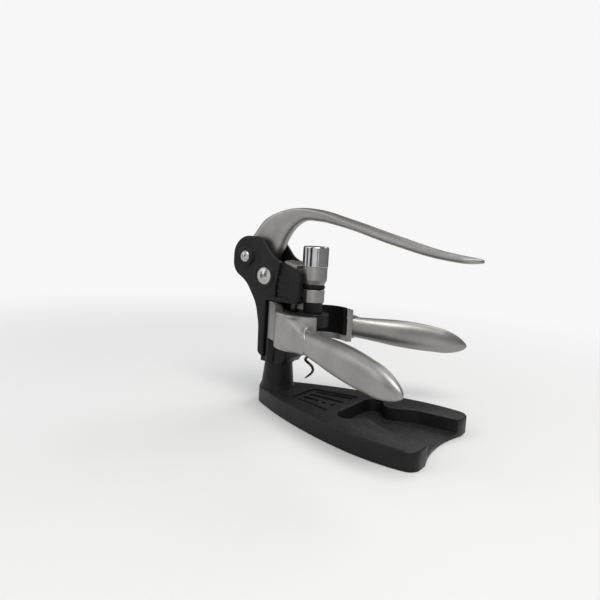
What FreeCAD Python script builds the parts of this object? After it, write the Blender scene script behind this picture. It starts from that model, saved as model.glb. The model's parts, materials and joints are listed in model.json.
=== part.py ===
import FreeCAD, Part
import math
import os
import re
from FreeCAD import Placement, Rotation, Vector

# Lever corkscrew parked on its moulded stand.
# Millimetres. +X points to the tip of the lever and of the handles, +Y to the left-hand
# clamp, +Z up. The origin lies on the underside of the stand, below the worm axis.

doc = FreeCAD.newDocument("lever_corkscrew")

# Driving sizes: alias, value, meaning
SIZES = [
    ("fit", 0.05, "radial clearance of a pin or shaft in its hole"),
    ("press", 0.02, "radial clearance of a pin or sleeve that sits fast"),
    ("gap", 0.4, "free space between pieces that move past each other"),
    ("side_gap", 0.3, "free space beside a turning piece"),
    ("tray_height", 12.5, "thickness of the stand tray"),
    ("tray_front", 110.2, "front edge of the tray from the worm axis"),
    ("tray_rear_half", 25.8, "half width of the tray beside its rear"),
    ("tray_hip_half", 36.2, "half width of the tray beside the worm well"),
    ("tray_mid_half", 46.4, "half width of the tray at its middle"),
    ("tray_wide_half", 49.3, "half width of the tray where it is widest"),
    ("tray_shoulder_half", 48.2, "half width of the tray at its front corners"),
    ("tray_horn", 8.0, "straight end of each front horn"),
    ("tray_nose", 14.5, "radius of the tray's round nose behind the post"),
    ("tray_nose_turn", 118.0, "end of that round nose, in degrees from straight ahead"),
    ("tray_corner", 8.5, "radius of the tray's front corners"),
    ("tray_corner_turn", 81.0, "start of a corner's arc, in degrees from straight ahead"),
    ("tray_notch", 5.0, "depth of the hollow in the tray's front edge"),
    ("tray_edge", 0.9, "bevel along the tray's top edge"),
    ("recess_floor", 3.0, "floor thickness below the foil cutter recess"),
    ("recess_rear", 40.0, "rear wall of the foil cutter recess"),
    ("recess_half", 26.0, "half width of the foil cutter recess"),
    ("recess_neck", 13.5, "half width between the recess's two bumps"),
    ("recess_neck_x", 59.0, "place of the recess's two bumps along the tray"),
    ("well_rear", -4.0, "rear wall of the spare worm well"),
    ("well_front", 33.0, "front wall of the spare worm well"),
    ("well_rear_half", 15.0, "half width of the well at its rear"),
    ("well_front_half", 23.0, "half width of the well at its front"),
    ("well_depth", 1.6, "depth of the spare worm well"),
    ("slot_width", 3.8, "width of a spare worm slot"),
    ("slot_rear", 0.0, "rear end of the spare worm slots"),
    ("slot_front", 29.5, "front end of the long spare worm slots"),
    ("slot_depth", 6.0, "depth of a spare worm slot below the tray's top"),
    ("post_x", -29.5, "axis of the stand post"),
    ("post_top", 33.0, "height of the post's rim"),
    ("post_top_radius", 10.9, "radius of the post at its rim"),
    ("post_waist_radius", 12.7, "radius of the post above its foot"),
    ("foot_top", 16.0, "height where the post's foot begins to spread"),
    ("foot_radius", 14.2, "radius of the post's foot on the tray"),
    ("spigot_radius", 7.0, "radius of the frame's spigot in the post"),
    ("spigot_length", 15.0, "length of the frame's spigot"),
    ("screw_radius", 2.0, "radius of the post screw"),
    ("screw_head_radius", 4.0, "radius of the post screw's head"),
    ("screw_head", 2.4, "thickness of the post screw's head"),
    ("screw_recess", 0.8, "depth of that head above the stand's underside"),
    ("plate_inner", 11.7, "inner face of a side plate from the middle plane"),
    ("plate_thickness", 3.0, "thickness of a side plate"),
    ("pivot_x", -56.3, "lever pivot along the frame"),
    ("pivot_z", 114.0, "height of the lever pivot"),
    ("lobe_x", -53.5, "middle of a side plate's upper lobe along the frame"),
    ("lobe_z", 114.0, "height of that lobe's middle"),
    ("lobe_radius", 16.2, "radius of that lobe"),
    ("plate_front", -25.5, "front edge of a side plate beside the housing"),
    ("pivot_boss", 8.0, "radius of the raised boss round the lever pivot"),
    ("pivot_boss_rise", 1.6, "height of that boss"),
    ("pin_radius", 3.0, "radius of the lever pivot pin"),
    ("pin_head_radius", 4.4, "radius of the pivot pin's domed heads"),
    ("pin_head_rise", 2.2, "height of the pivot pin's domed heads"),
    ("bolt_x", -37.4, "plate bolt along the frame"),
    ("bolt_z", 100.3, "height of the plate bolt"),
    ("bolt_boss", 9.8, "radius of the raised ring round the plate bolt"),
    ("bolt_boss_rise", 0.9, "height of that ring"),
    ("bolt_seat", 0.2, "rise of the bolt head's seat above the plate's face"),
    ("bolt_radius", 3.0, "radius of the plate bolt's shank"),
    ("bolt_head_radius", 6.8, "radius of the plate bolt's domed head"),
    ("bolt_head_rise", 2.4, "height of the plate bolt's domed head"),
    ("socket_radius", 1.5, "half width of the hexagon socket in the bolt"),
    ("channel_half", 10.2, "half width of the carriage channel"),
    ("housing_front", -3.0, "front face of the carriage housing"),
    ("cheek_outer", 14.2, "outer face of the housing's front columns"),
    ("panel_outer", 12.7, "outer face of the housing's recessed side panels"),
    ("ledge_bottom", 82.0, "underside of the housing's ledge"),
    ("ledge_thickness", 3.0, "thickness of the housing's ledge"),
    ("column_rear", -38.6, "rear face of the frame column"),
    ("column_front", -18.0, "front face of the frame column"),
    ("column_bottom", 33.3, "underside of the frame column"),
    ("spine_front", -34.6, "front face of the column's spine"),
    ("web_half", 4.9, "half width of the column's web"),
    ("foot_block_top", 52.4, "top of the column's foot block"),
    ("hinge_x", -29.5, "clamp hinge axis along the frame"),
    ("hinge_y", 9.6, "clamp hinge axis from the middle plane"),
    ("hinge_boss", 5.0, "radius of the hinge boss on the foot block"),
    ("hinge_pin_radius", 2.0, "radius of a clamp hinge pin"),
    ("knuckle_radius", 4.3, "radius of a clamp knuckle"),
    ("nut_radius", 12.5, "radius of the worm guide"),
    ("nut_bottom", 66.0, "underside of the worm guide"),
    ("nut_top", 75.6, "top of the worm guide"),
    ("nut_bore", 5.3, "radius of the worm guide's bore"),
    ("yoke_half", 3.0, "half thickness of the carriage's yoke plate"),
    ("tail_rear", -24.5, "rear face of the carriage's guide tail"),
    ("tail_front", -18.6, "front face of the carriage's guide tail"),
    ("tail_bottom", 46.0, "lower end of the guide tail at rest"),
    ("crank_radius", 28.0, "crank pin from the lever pivot"),
    ("crank_root", 6.5, "half width of a crank arm beside the lever's hub"),
    ("hub_boss", 10.5, "radius of the lever's hub"),
    ("swing", 115.0, "swing of the lever in degrees"),
    ("crank_pin_radius", 1.8, "radius of the crank pin"),
    ("roller_radius", 3.2, "radius of the crank roller"),
    ("roller_play", 2.0, "free height above and below the roller in the yoke slot"),
    ("yoke_bar", 3.2, "height of the yoke's bars"),
    ("block_rear", -21.4, "rear face of the carriage block"),
    ("block_front", -9.9, "front face of the carriage block"),
    ("arm_half", 4.8, "half width of the carriage's arm to its hub"),
    ("hub_radius", 5.5, "radius of the carriage's hub inside the post"),
    ("shank_radius", 3.0, "radius of the worm spindle"),
    ("collar_bottom", 76.0, "underside of the black collar"),
    ("ring_bottom", 83.5, "underside of the satin ring"),
    ("seal_bottom", 93.3, "underside of the rubber ring"),
    ("sleeve_bottom", 97.0, "underside of the satin sleeve"),
    ("cap_bottom", 110.0, "underside of the bright cap"),
    ("cap_top", 125.6, "top of the bright cap"),
    ("cap_radius", 9.6, "radius of the bright cap"),
    ("sleeve_radius", 9.3, "radius of the satin sleeve"),
    ("seal_radius", 6.9, "outer radius of the rubber ring"),
    ("ring_radius", 8.2, "radius of the satin ring"),
    ("collar_radius", 7.3, "radius of the black collar"),
    ("worm_radius", 3.1, "mean radius of the worm's helix"),
    ("wire_radius", 1.4, "radius of the worm's wire"),
    ("worm_pitch", 15.7, "pitch of the worm"),
    ("worm_tip", 23.3, "height of the worm's point at rest"),
    ("point_length", 5.0, "length of the worm's point"),
    ("point_radius", 0.25, "radius of the worm's point at its very end"),
    ("head_height", 3.6, "height of the worm's head"),
    ("groove_height", 1.0, "height of the clip's groove in the spindle"),
    ("cheek_inner", 4.2, "inner face of the lever's cheeks"),
    ("cheek_half", 8.8, "outer face of the lever's cheeks"),
    ("pad_inner", 15.5, "radius of the rubber pads' grip on a bottle neck"),
    ("jaw_inner", 18.5, "inner radius of a closed jaw"),
    ("jaw_outer", 23.5, "outer radius of a closed jaw"),
    ("jaw_bottom", 50.5, "underside of a jaw"),
    ("jaw_top", 76.0, "top of a jaw"),
    ("handle_toe", 5.0, "inward lean of a closed handle, in degrees"),
    ("handle_reach", 148.0, "handle tip from the clamp hinge"),
    ("handle_height", 22.0, "height of a handle at its belly"),
    ("handle_width", 16.0, "width of a handle at its belly"),
    ("left_open", 33.5, "opening of the left clamp as parked, in degrees"),
    ("right_open", 17.5, "opening of the right clamp as parked, in degrees"),
]

sheet = doc.addObject("Spreadsheet::Sheet", "Sizes")
for row, (alias, value, meaning) in enumerate(SIZES, start=1):
    sheet.set("A%d" % row, meaning)
    sheet.set("B%d" % row, str(value))
    sheet.setAlias("B%d" % row, alias)
doc.recompute()
ALIASES = {alias for alias, value, meaning in SIZES}


def mm(alias):
    """The value of one cell of the sheet."""
    return float(sheet.get(alias))


def bind(item, prop, expression):
    """Ties a property to the sheet: each alias in the expression is read from there."""
    def from_sheet(word):
        name = word.group()
        return "Sizes." + name if name in ALIASES else name
    item.setExpression(prop, re.sub(r"[a-z][a-z_0-9]*", from_sheet, str(expression)))


def place(item, x, y, z):
    for axis, expression in zip("xyz", (x, y, z)):
        bind(item, "Placement.Base." + axis, expression)


TURNS = {"Z": Rotation(), "Y": Rotation(Vector(1, 0, 0), -90), "X": Rotation(Vector(0, 1, 0), 90)}


def cylinder(name, radius, height, x=0, y=0, z=0, along="Z"):
    item = doc.addObject("Part::Cylinder", name)
    item.Placement = Placement(Vector(), TURNS[along])
    bind(item, "Radius", radius)
    bind(item, "Height", height)
    place(item, x, y, z)
    return item


def cone(name, lower, upper, height, x=0, y=0, z=0):
    item = doc.addObject("Part::Cone", name)
    bind(item, "Radius1", lower)
    bind(item, "Radius2", upper)
    bind(item, "Height", height)
    place(item, x, y, z)
    return item


def box(name, x0, x1, y0, y1, z0, z1):
    """A block between two corners."""
    item = doc.addObject("Part::Box", name)
    bind(item, "Length", "(%s) - (%s)" % (x1, x0))
    bind(item, "Width", "(%s) - (%s)" % (y1, y0))
    bind(item, "Height", "(%s) - (%s)" % (z1, z0))
    place(item, x0, y0, z0)
    return item


def torus(name, major, minor, x=0, y=0, z=0):
    item = doc.addObject("Part::Torus", name)
    bind(item, "Radius1", major)
    bind(item, "Radius2", minor)
    place(item, x, y, z)
    return item


def fuse(name, *pieces):
    item = doc.addObject("Part::MultiFuse", name)
    item.Shapes = list(pieces)
    item.Refine = True
    return item


def cut(name, base, *tools):
    item = doc.addObject("Part::Cut", name)
    item.Base = base
    item.Tool = tools[0] if len(tools) == 1 else fuse(name + "_tools", *tools)
    item.Refine = True
    return item


def common(name, base, tool):
    item = doc.addObject("Part::Common", name)
    item.Base = base
    item.Tool = tool
    item.Refine = True
    return item


def mirror(name, source):
    """The same piece on the other side of the middle plane."""
    item = doc.addObject("Part::Mirroring", name)
    item.Source = source
    item.Normal = Vector(0, 1, 0)
    item.Base = Vector(0, 0, 0)
    return item


def shaped(name, shape):
    item = doc.addObject("Part::Feature", name)
    item.Shape = shape
    return item


def round_edges(name, base, radius, wanted):
    """Rounds the edges of a piece whose midpoint is wanted."""
    doc.recompute()
    edges = []
    for number, edge in enumerate(base.Shape.Edges, start=1):
        middle = edge.valueAt((edge.FirstParameter + edge.LastParameter) / 2)
        if wanted(middle, edge):
            edges.append((number, radius, radius))
    item = doc.addObject("Part::Fillet", name)
    item.Base = base
    item.Edges = edges
    return item


def bevel_edges(name, base, size, wanted):
    """Bevels the edges of a piece whose midpoint is wanted."""
    doc.recompute()
    edges = []
    for number, edge in enumerate(base.Shape.Edges, start=1):
        middle = edge.valueAt((edge.FirstParameter + edge.LastParameter) / 2)
        if wanted(middle, edge):
            edges.append((number, size, size))
    item = doc.addObject("Part::Chamfer", name)
    item.Base = base
    item.Edges = edges
    return item


def rounded_wire(corners, lift):
    """A closed outline through corners (u, v, radius), each corner rounded by its radius.

    lift turns a pair (u, v) into a point in space.
    """
    ends = []
    count = len(corners)
    for i, (u, v, radius) in enumerate(corners):
        here = Vector(u, v, 0)
        before = Vector(*corners[i - 1][:2], 0) - here
        after = Vector(*corners[(i + 1) % count][:2], 0) - here
        before.normalize()
        after.normalize()
        half = before.getAngle(after) / 2
        reach = radius / math.tan(half) if radius else 0
        start = here + before * reach
        end = here + after * reach
        bisector = before + after
        bisector.normalize()
        middle = here + bisector * (radius / math.sin(half) - radius)
        ends.append((start, middle, end, radius))
    edges = []
    for i, (start, middle, end, radius) in enumerate(ends):
        if radius:
            arc = [lift(p.x, p.y) for p in (start, middle, end)]
            edges.append(Part.Arc(*arc).toShape())
        following = ends[(i + 1) % count][0]
        if (following - end).Length > 1e-6:
            edges.append(Part.LineSegment(lift(end.x, end.y), lift(following.x, following.y)).toShape())
    return Part.Wire(edges)


def side_prism(name, corners, y0, y1):
    """An outline in the XZ plane carried from y0 to y1."""
    wire = rounded_wire(corners, lambda u, v: Vector(u, y0, v))
    return shaped(name, Part.Face(wire).extrude(Vector(0, y1 - y0, 0)))


def plan_prism(name, corners, z0, z1):
    """An outline in the XY plane carried from z0 to z1."""
    wire = rounded_wire(corners, lambda u, v: Vector(u, v, z0))
    return shaped(name, Part.Face(wire).extrude(Vector(0, 0, z1 - z0)))


def section(centre, normal, half_across, half_up, across, squareness=2.4, count=16):
    """A closed smooth curve round a centre: a superellipse square to normal."""
    up = normal.cross(across)
    up.normalize()
    points = []
    for i in range(count):
        angle = 2 * math.pi * i / count
        c, s = math.cos(angle), math.sin(angle)
        u = math.copysign(abs(c) ** (2 / squareness), c) * half_across
        v = math.copysign(abs(s) ** (2 / squareness), s) * half_up
        points.append(centre + across * u + up * v)
    curve = Part.BSplineCurve()
    curve.interpolate(Points=points, PeriodicFlag=True)
    return Part.Wire([curve.toShape()])


finished = []


def finish(item, label):
    """Marks an object as a finished sub-part under its own name."""
    item.Label = label
    finished.append(item)
    return item


def crank_place():
    """The crank pin at rest: the crank starts half a swing below the level."""
    angle = math.radians(-mm("swing") / 2)
    x = mm("pivot_x") + mm("crank_radius") * math.cos(angle)
    z = mm("pivot_z") + mm("crank_radius") * math.sin(angle)
    return x, z


def make_stand():
    """The moulded tray with its recesses, its post and the post's screw."""
    height = mm("tray_height")
    nose = Vector(mm("post_x"), 0, 0)
    turn = math.radians(mm("tray_nose_turn"))
    nose_end = nose + Vector(math.cos(turn), math.sin(turn), 0) * mm("tray_nose")
    front = mm("tray_front")
    corner = mm("tray_corner")
    slant = math.radians(mm("tray_corner_turn"))
    corner_centre = Vector(front - corner, mm("tray_shoulder_half") - corner, 0)
    shoulder = corner_centre + Vector(math.cos(slant), math.sin(slant), 0) * corner
    corner_mid = corner_centre + Vector(math.cos(slant / 2), math.sin(slant / 2), 0) * corner
    horn = corner_centre + Vector(corner, 0, 0)
    lip = Vector(front, horn.y - mm("tray_horn"), 0)
    lip_mid = Vector(front - mm("tray_notch"), 0, 0)
    side_points = [nose_end, Vector(-10, mm("tray_rear_half"), 0), Vector(18, mm("tray_hip_half"), 0),
                   Vector(57, mm("tray_mid_half"), 0), Vector(82, mm("tray_wide_half"), 0), shoulder]

    def flip(p):
        return Vector(p.x, -p.y, p.z)

    def tray_side(mapped):
        curve = Part.BSplineCurve()
        curve.interpolate(Points=[mapped(p) for p in side_points],
                          InitialTangent=mapped(Vector(math.sin(turn), -math.cos(turn), 0)),
                          FinalTangent=mapped(Vector(math.sin(slant), -math.cos(slant), 0)))
        return curve.toShape()

    edges = [
        Part.Arc(flip(nose_end), nose - Vector(mm("tray_nose"), 0, 0), nose_end).toShape(),
        tray_side(lambda p: p),
        Part.Arc(shoulder, corner_mid, horn).toShape(),
        Part.LineSegment(horn, lip).toShape(),
        Part.Arc(lip, lip_mid, flip(lip)).toShape(),
        Part.LineSegment(flip(lip), flip(horn)).toShape(),
        Part.Arc(flip(horn), flip(corner_mid), flip(shoulder)).toShape(),
        tray_side(flip),
    ]
    wire = Part.Wire(Part.__sortEdges__(edges))
    slab = shaped("tray_slab", Part.Face(wire).extrude(Vector(0, 0, height)))
    edge = mm("tray_edge")
    slab = bevel_edges("tray_blank", slab, edge, lambda p, e: abs(p.z - height) < 0.01)

    half = mm("recess_half")
    neck = mm("recess_neck")
    neck_x = mm("recess_neck_x")
    rear = mm("recess_rear")
    recess = plan_prism("foil_cutter_recess", [
        (rear, -half, 8), (rear, half, 8), (neck_x - 8, half + 1, 5), (neck_x, neck, 8),
        (neck_x + 20, half - 1, 16), (front + 20, half + 3, 0), (front + 20, -half - 3, 0),
        (neck_x + 20, 1 - half, 16), (neck_x, -neck, 8), (neck_x - 8, -half - 1, 5),
    ], mm("recess_floor"), height + 1)
    well = plan_prism("worm_well", [
        (mm("well_rear"), -mm("well_rear_half"), 2), (mm("well_rear"), mm("well_rear_half"), 2),
        (mm("well_front"), mm("well_front_half"), 2), (mm("well_front"), -mm("well_front_half"), 2),
    ], height - mm("well_depth"), height + 1)
    # Four slots fan out; one is broken short and goes on as two round holes
    x0 = mm("slot_rear")
    w = mm("slot_width") / 2
    slots = []
    for number, (y0, y1, x1) in enumerate(((12.2, 18.2, mm("slot_front")), (4.2, 5.6, mm("slot_front")),
                                           (-4.2, -4.8, 14.0), (-12.2, -18.2, mm("slot_front")))):
        slots.append(plan_prism("worm_slot_%d" % number, [
            (x0, y0 - w, 1.5), (x0, y0 + w, 1.5), (x1, y1 + w, 1.5), (x1, y1 - w, 1.5),
        ], height - mm("slot_depth"), height + 1))
    for number, x in enumerate((19.0, 26.0)):
        slots.append(cylinder("worm_hole_%d" % number, "slot_width / 2", "slot_depth + 1",
                              x, -5, "tray_height - slot_depth"))
    head = cylinder("post_screw_pocket", "screw_head_radius + gap", "screw_head + screw_recess",
                    "post_x", 0, 0)
    hole = cylinder("post_screw_hole", "screw_radius + fit", "tray_height + 2", "post_x", 0, -1)
    finish(cut("stand_tray", slab, recess, well, head, hole, *slots), "stand_tray")

    foot = cone("post_foot", "foot_radius", "post_waist_radius", "foot_top - tray_height",
                "post_x", 0, "tray_height")
    stem = cone("post_stem", "post_waist_radius", "post_top_radius", "post_top - foot_top",
                "post_x", 0, "foot_top")
    socket = cylinder("post_socket", "spigot_radius + fit", "spigot_length + 1.3",
                      "post_x", 0, "post_top - spigot_length - 0.3")
    pilot = cylinder("post_pilot", "screw_radius", "4.6", "post_x", 0, "tray_height - 1")
    body = cut("post_turned", fuse("post_blank", foot, stem), socket, pilot)
    rim = round_edges("stand_post", body, 0.8,
                      lambda p, e: abs(p.z - mm("post_top")) < 0.01 and
                      math.hypot(p.x - mm("post_x"), p.y) > mm("post_top_radius") - 0.1)
    finish(rim, "stand_post")

    shank = cylinder("post_screw_shank", "screw_radius", "tray_height + 3 - screw_recess - screw_head",
                     "post_x", 0, "screw_recess + screw_head")
    screw_head = cylinder("post_screw_head", "screw_head_radius", "screw_head", "post_x", 0,
                          "screw_recess")
    drive = box("post_screw_drive", "post_x - 2.5", "post_x + 2.5", -0.4, 0.4, "screw_recess - 0.1",
                "screw_recess + 1")
    finish(cut("post_screw", fuse("post_screw_blank", shank, screw_head), drive), "post_screw")


def plate_outline():
    """The S-shaped outline of a side plate in the XZ plane."""
    mid_x, mid_z, lobe = mm("lobe_x"), mm("lobe_z"), mm("lobe_radius")
    rear = mm("column_rear")
    front = mm("plate_front")
    neck = mm("spine_front")
    ledge = mm("ledge_bottom")
    low = mm("column_bottom")
    return [
        (mid_x - lobe, mid_z - 11.5, 12), (mid_x - lobe, mid_z + lobe, lobe - 0.6),
        (mid_x + 11.5, mid_z + lobe, lobe - 5), (mid_x + 24.5, mid_z + 1.2, 12),
        (front + 3.5, mid_z - 1.8, 3), (front, mid_z - 19.8, 6), (front, ledge, 1.5),
        (neck, ledge, 2.0), (neck, low + 3.0, 1.2), (rear - 2.0, low + 6.5, 4), (rear - 2.4, 62.0, 30),
        (rear - 5.8, 78.0, 30), (mid_x - 1.5, 94.0, 25),
    ]


def make_side_plates():
    """Two S-shaped plates with a boss round the lever pivot and a ring round the bolt."""
    inner, thick = mm("plate_inner"), mm("plate_thickness")
    blank = side_prism("plate_blank", plate_outline(), inner, inner + thick)
    blank = bevel_edges("plate_bevelled", blank, 0.7, lambda p, e: abs(p.y - inner - thick) < 0.01)
    pivot_boss = cylinder("plate_pivot_boss", "pivot_boss", "plate_thickness + pivot_boss_rise",
                          "pivot_x", "plate_inner", "pivot_z", "Y")
    bolt_boss = cylinder("plate_bolt_boss", "bolt_boss", "plate_thickness + bolt_boss_rise",
                         "bolt_x", "plate_inner", "bolt_z", "Y")
    pivot_hole = cylinder("plate_pivot_hole", "pin_radius + fit", 20, "pivot_x", 0, "pivot_z", "Y")
    bolt_hole = cylinder("plate_bolt_hole", "bolt_radius + fit", 20, "bolt_x", 0, "bolt_z", "Y")
    bolt_seat = cylinder("plate_bolt_seat", "bolt_head_radius + 0.6", 3, "bolt_x",
                         "plate_inner + plate_thickness + bolt_seat", "bolt_z", "Y")
    left = cut("side_plate_left", fuse("plate_raised", blank, pivot_boss, bolt_boss),
               pivot_hole, bolt_hole, bolt_seat)
    finish(left, "side_plate_left")
    finish(mirror("side_plate_right", left), "side_plate_right")


def make_fasteners():
    """The lever's pivot pin with domed heads, and a short domed bolt in each side plate."""
    reach = "(plate_inner + plate_thickness + pivot_boss_rise)"
    pin = cylinder("pivot_shaft", "pin_radius", "2 * " + reach, "pivot_x", "-" + reach, "pivot_z", "Y")
    dome_radius = (mm("pin_head_radius") ** 2 + mm("pin_head_rise") ** 2) / (2 * mm("pin_head_rise"))
    face = mm("plate_inner") + mm("plate_thickness") + mm("pivot_boss_rise")
    heads = []
    for side, sign in (("left", 1), ("right", -1)):
        depth = face + mm("pin_head_rise") - dome_radius
        ball = Part.makeSphere(dome_radius, Vector(mm("pivot_x"), sign * depth, mm("pivot_z")))
        foot = Vector(mm("pivot_x"), sign * face, mm("pivot_z"))
        keep = Part.makeCylinder(dome_radius, dome_radius, foot, Vector(0, sign, 0))
        heads.append(shaped("pivot_head_" + side, ball.common(keep)))
    finish(fuse("lever_pivot_pin", pin, *heads), "lever_pivot_pin")

    seat = mm("plate_inner") + mm("plate_thickness") + mm("bolt_seat")
    rise = mm("bolt_head_rise")
    radius = (mm("bolt_head_radius") ** 2 + rise ** 2) / (2 * rise)
    centre = Vector(mm("bolt_x"), seat + rise - radius, mm("bolt_z"))
    ball = Part.makeSphere(radius, centre)
    keep = Part.makeCylinder(radius, radius, Vector(centre.x, seat, centre.z), Vector(0, 1, 0))
    dome = shaped("bolt_dome", ball.common(keep))
    shank_length = "plate_inner + plate_thickness + bolt_seat - channel_half - 0.2"
    shank = cylinder("bolt_shank", "bolt_radius", shank_length, "bolt_x", "channel_half + 0.2",
                     "bolt_z", "Y")
    hexagon = [(mm("bolt_x") + mm("socket_radius") * 1.155 * math.cos(math.radians(60 * i)),
                mm("bolt_z") + mm("socket_radius") * 1.155 * math.sin(math.radians(60 * i)), 0)
               for i in range(6)]
    socket = side_prism("bolt_socket", hexagon, seat + 0.3, seat + rise + 2)
    bolt = cut("plate_bolt", fuse("bolt_blank", dome, shank), socket)
    other = mirror("plate_bolt_mirrored", bolt)
    pair = doc.addObject("Part::Compound", "plate_bolts")
    pair.Links = [bolt, other]
    finish(pair, "plate_bolts")


def make_frame():
    """The column on its spigot, the channel-shaped housing, the worm guide, the hinge pins."""
    spine = box("column_spine", "column_rear", "spine_front", "-plate_inner", "plate_inner",
                "column_bottom", "ledge_bottom")
    web = box("column_web", "spine_front", "column_front", "-web_half", "web_half",
              "column_bottom", "ledge_bottom")
    low = mm("column_bottom")
    block = side_prism("column_foot", [
        (mm("column_rear"), low + 2.5, 2), (mm("column_rear") + 2.5, low, 1.5),
        (mm("column_front") - 1.0, low, 1.5), (mm("column_front") + 2.6, low + 4.5, 1.5),
        (mm("column_front") + 2.6, mm("foot_block_top"), 1), (mm("column_rear"), mm("foot_block_top"), 0),
    ], -mm("plate_inner"), mm("plate_inner"))
    bosses = [cylinder("hinge_boss_" + side, "hinge_boss", "foot_block_top - column_bottom - 1.5",
                       "hinge_x", sign + "hinge_y", "column_bottom + 1.5")
              for side, sign in (("left", ""), ("right", "-"))]
    spigot = cylinder("column_spigot", "spigot_radius", "spigot_length + 1", "post_x", 0,
                      "column_bottom - spigot_length")
    slot = box("tail_slot", "tail_rear - gap", "column_front + 10", "-yoke_half - gap", "yoke_half + gap",
               "tail_bottom - gap", "ledge_bottom + 1")
    pin_holes = [cylinder("hinge_hole_" + side, "hinge_pin_radius + press", 12, "hinge_x", sign + "hinge_y",
                          "foot_block_top - 10") for side, sign in (("left", ""), ("right", "-"))]
    plate_rooms = []
    for side, sign in (("left", 1), ("right", -1)):
        face = mm("plate_inner") * sign
        plate_rooms.append(side_prism("plate_room_" + side, plate_outline(), face, face + 20 * sign))
    finish(cut("frame_column", fuse("column_blank", spine, web, block, spigot, *bosses), slot,
               *pin_holes, *plate_rooms), "frame_column")

    front = mm("housing_front")
    ledge = mm("ledge_bottom")
    pz = mm("pivot_z")
    wall_top = [(-41.5, ledge, 0), (front - 1.5, ledge, 1), (front, pz - 8.6, 3), (-23.0, pz - 1.8, 6),
                (-34.0, pz + 2.0, 4), (-40.0, pz - 6, 6), (-45.0, 93, 6)]
    outer = side_prism("housing_shell", wall_top, -mm("plate_inner"), mm("plate_inner"))
    column_corners = [(front - 9.5, ledge, 0), (front - 1.5, ledge, 1), (front, pz - 8.6, 3),
                      (front - 9.5, pz - 6.0, 0)]
    columns = side_prism("housing_columns", column_corners, -mm("cheek_outer"), mm("cheek_outer"))
    panel_corners = [(mm("plate_front") + 0.6, ledge, 0), (front - 9.5, ledge, 0),
                     (front - 9.5, pz - 6.0, 0),
                     (mm("plate_front") + 0.6, pz - 2.2, 0)]
    panel = side_prism("housing_panels", panel_corners, -mm("panel_outer"), mm("panel_outer"))
    ledge_slab = box("housing_ledge", "column_rear + 4.6", "housing_front - 2",
                     "-plate_inner - plate_thickness", "plate_inner + plate_thickness",
                     "ledge_bottom", "ledge_bottom + ledge_thickness")
    ribs = [box("housing_rib_%d" % i, "plate_front + 0.6", "housing_front - 9.5", "-panel_outer - 0.7",
                "panel_outer + 0.7", ledge + 7.5 + 5.5 * i, ledge + 8.5 + 5.5 * i) for i in range(3)]
    channel = box("housing_channel", "-60", "housing_front + 5", "-channel_half", "channel_half",
                  "ledge_bottom + ledge_thickness", "pivot_z + 20")
    yoke_way = box("housing_yoke_way", "-60", "column_front", "-yoke_half - gap", "yoke_half + gap",
                   "ledge_bottom - 1", "pivot_z + 20")
    post_way = cylinder("housing_post_way", "ring_radius + gap", 20, 0, 0, "ledge_bottom - 1")
    bolt_holes = cylinder("housing_bolt_holes", "bolt_radius + fit", 40, "bolt_x", -20, "bolt_z", "Y")
    pin_tops = [cylinder("ledge_hole_" + side, "hinge_pin_radius + press", 4, "hinge_x", sign + "hinge_y",
                         "ledge_bottom - 2") for side, sign in (("left", ""), ("right", "-"))]
    ring_rooms = [cylinder("ring_room_" + side, "bolt_boss", 20, "bolt_x", y, "bolt_z", "Y")
                  for side, y in (("left", "plate_inner"), ("right", "-plate_inner - 20"))]
    blank = fuse("housing_blank", outer, columns, panel, ledge_slab, *ribs)
    finish(cut("carriage_housing", blank, channel, yoke_way, post_way, bolt_holes, *pin_tops,
               *plate_rooms, *ring_rooms), "carriage_housing")

    disc = cylinder("guide_disc", "nut_radius", "nut_top - nut_bottom", 0, 0, "nut_bottom")
    arm = box("guide_arm", "column_front", 0, "-web_half", "web_half", "nut_bottom + 1", "nut_top")
    bore = cylinder("guide_bore", "nut_bore", 30, 0, 0, "nut_bottom - 5")
    mouth = cone("guide_mouth", "nut_radius - 1.2", "nut_bore", 4, 0, 0, "nut_bottom")
    turned = cut("guide_turned", fuse("guide_blank", disc, arm), bore, mouth)
    finish(round_edges("worm_guide", turned, 1.0, lambda p, e: abs(p.z - mm("nut_top")) < 0.01 and
                       abs(math.hypot(p.x, p.y) - mm("nut_radius")) < 0.05), "worm_guide")

    pins = [cylinder("hinge_pin_" + side, "hinge_pin_radius",
                     "ledge_bottom + 2 - foot_block_top + 10", "hinge_x", sign + "hinge_y",
                     "foot_block_top - 10") for side, sign in (("left", ""), ("right", "-"))]
    pair = doc.addObject("Part::Compound", "clamp_hinge_pins")
    pair.Links = pins
    finish(pair, "clamp_hinge_pins")


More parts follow.
